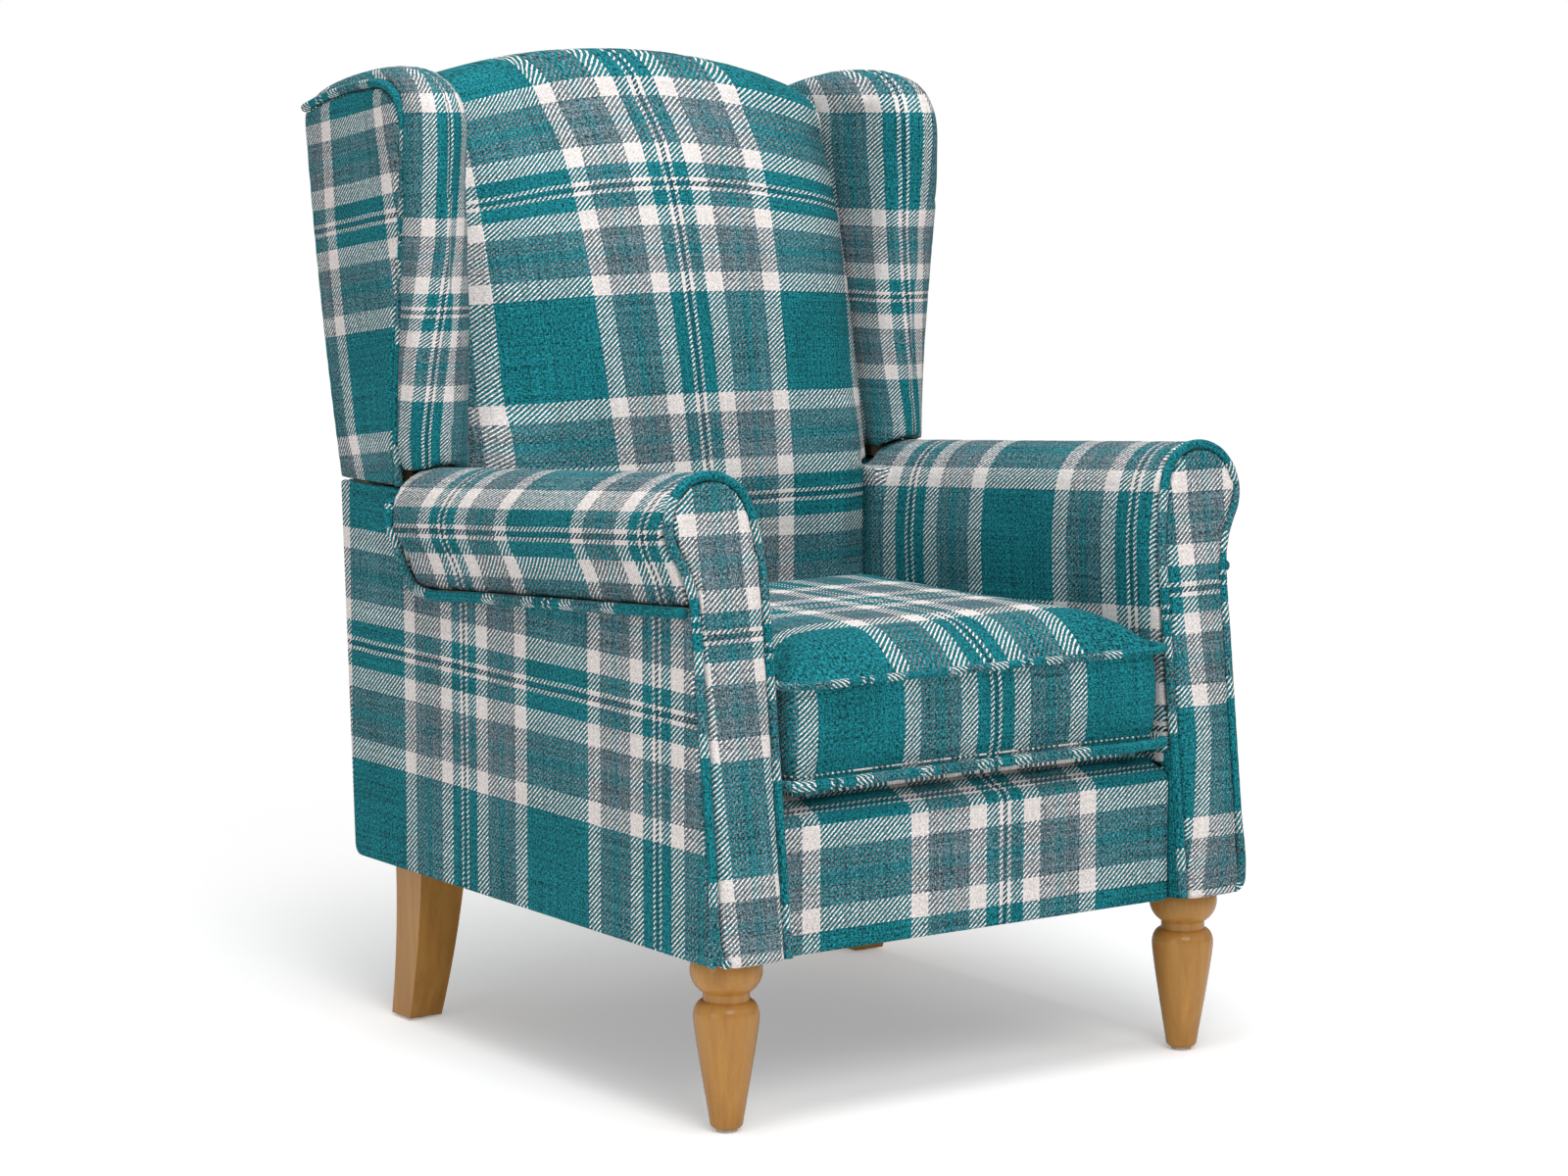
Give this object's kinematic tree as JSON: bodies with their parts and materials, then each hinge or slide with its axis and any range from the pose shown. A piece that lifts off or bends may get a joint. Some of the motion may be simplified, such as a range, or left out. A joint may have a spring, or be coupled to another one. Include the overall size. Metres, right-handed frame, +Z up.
{
  "type": "wing-back fireside chair",
  "caption": "Upholstered wing-back fireside chair with scroll arms, an arched back, a loose piped seat cushion and short turned front legs.",
  "frame": {"origin": "floor level, in the middle of the chair's width and depth", "axes": "+X to the right seen from the front, +Y to the rear, +Z up"},
  "size_m": [0.7306, 0.8248, 1.064],
  "materials": {
    "leg_wood": "clear satin",
    "glide_plastic": "moulded",
    "zinc_steel": "zinc plated",
    "frame_wood": "sawn, unfinished",
    "webbing": "woven elastic",
    "lining": "plain woven",
    "check_cloth": "twill-woven check in teal, slate and cream",
    "check_piping": "twill-woven check cut out of register"
  },
  "bodies": {
    "chair": {"front_leg_left": "leg_wood", "front_leg_right": "leg_wood", "rear_leg_left": "leg_wood", "rear_leg_right": "leg_wood", "leg_glides": "glide_plastic", "hanger_bolts": "zinc_steel", "leg_tee_nuts": "zinc_steel", "front_rail": "frame_wood", "rear_rail": "frame_wood", "side_rail_left": "frame_wood", "side_rail_right": "frame_wood", "corner_blocks": "frame_wood", "front_post_left": "frame_wood", "front_post_right": "frame_wood", "rear_post_left": "frame_wood", "rear_post_right": "frame_wood", "base_top_rail": "frame_wood", "arm_rail_left": "frame_wood", "arm_rail_right": "frame_wood", "arm_liner_rails": "frame_wood", "facing_boards": "frame_wood", "seat_webbing": "webbing", "deck_pad": "lining", "front_border": "check_cloth", "dust_cover": "lining", "outside_arm_left": "check_cloth", "outside_arm_right": "check_cloth", "arm_pad_left": "check_cloth", "arm_pad_right": "check_cloth", "arm_facing_left": "check_cloth", "arm_facing_right": "check_cloth", "facing_piping_left": "check_piping", "facing_piping_right": "check_piping", "arm_piping_left": "check_piping", "arm_piping_right": "check_piping", "base_rear_panel": "check_cloth", "back_stiles": "frame_wood", "back_top_rail": "frame_wood", "back_lower_rail": "frame_wood", "back_webbing": "webbing", "back_pad": "check_cloth", "outside_back": "check_cloth", "wing_board_left": "frame_wood", "wing_board_right": "frame_wood", "wing_pad_left": "check_cloth", "wing_pad_right": "check_cloth", "wing_outer_left": "check_cloth", "wing_outer_right": "check_cloth", "wing_piping_left": "check_piping", "wing_piping_right": "check_piping", "back_hook_plates": "zinc_steel", "back_tongue_plates": "zinc_steel", "bracket_screws": "zinc_steel"},
    "cushion": {"seat_cushion": "check_cloth", "cushion_piping_top": "check_piping", "cushion_piping_bottom": "check_piping"}
  },
  "joints": [
    {"name": "cushion_lift", "type": "slide", "parent": "chair", "child": "cushion", "axis": [0, 0, 1], "range_m": [0, 0.35]}
  ]
}
